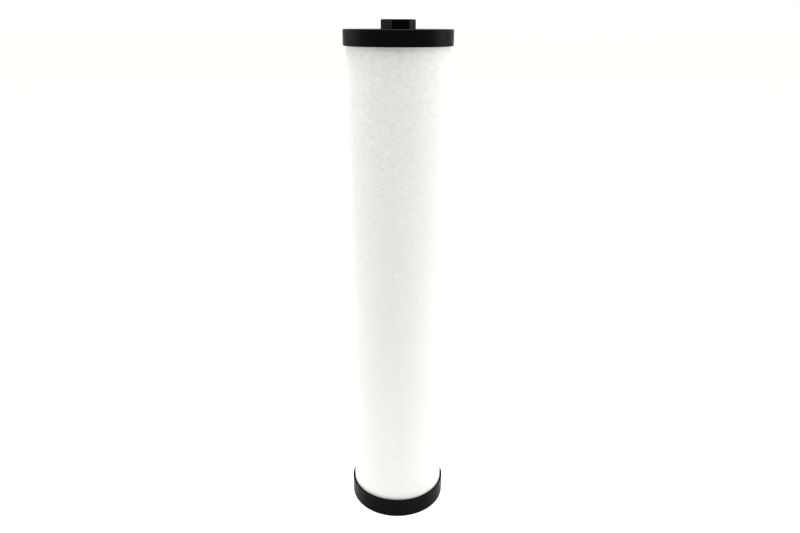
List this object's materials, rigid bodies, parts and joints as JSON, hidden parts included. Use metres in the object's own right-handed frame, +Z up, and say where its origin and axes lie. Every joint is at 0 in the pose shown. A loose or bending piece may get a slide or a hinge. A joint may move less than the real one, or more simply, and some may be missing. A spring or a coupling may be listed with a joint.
{
  "type": "pump water filter cartridge",
  "caption": "Tall white felt-wrapped water filter cartridge with black end caps, a hexagon boss on top and a threaded outlet underneath.",
  "frame": {"origin": "centre of the bottom cap's base, on the cartridge's axis", "axes": "+Z up along the axis, towards the hexagon boss; two of the hexagon's flats face along Y"},
  "size_m": [0.0508, 0.0508, 0.2562],
  "materials": {
    "cap_plastic": "black injection-moulded, satin",
    "felt": "white needle-punched felt",
    "potting": "cast polyurethane, honey coloured",
    "cage_plastic": "natural polypropylene",
    "spacer": "white spun-bonded web",
    "membrane": "white glass fibre paper",
    "fleece": "white non-woven",
    "carbon": "sintered activated carbon, matt black",
    "gasket_rubber": "soft black rubber, matt",
    "seal_rubber": "black rubber",
    "core_plastic": "white polypropylene",
    "bush_metal": "turned brass, plain"
  },
  "bodies": {
    "root": {"top_end_cap": "cap_plastic", "bottom_end_cap": "cap_plastic", "top_potting": "potting", "bottom_potting": "potting", "felt_sleeve": "felt", "outer_cage": "cage_plastic", "pleat_outer_spacer": "spacer", "pleated_membrane": "membrane", "pleat_inner_spacer": "spacer", "inner_cage": "cage_plastic", "carbon_outer_fleece": "fleece", "carbon_block": "carbon", "carbon_inner_fleece": "fleece", "carbon_top_gasket": "gasket_rubber", "carbon_bottom_gasket": "gasket_rubber", "core_tube": "core_plastic", "core_plug": "core_plastic", "core_plug_seal": "seal_rubber", "outlet_bush": "bush_metal", "bush_seal": "seal_rubber", "outlet_gasket": "gasket_rubber"}
  },
  "joints": []
}
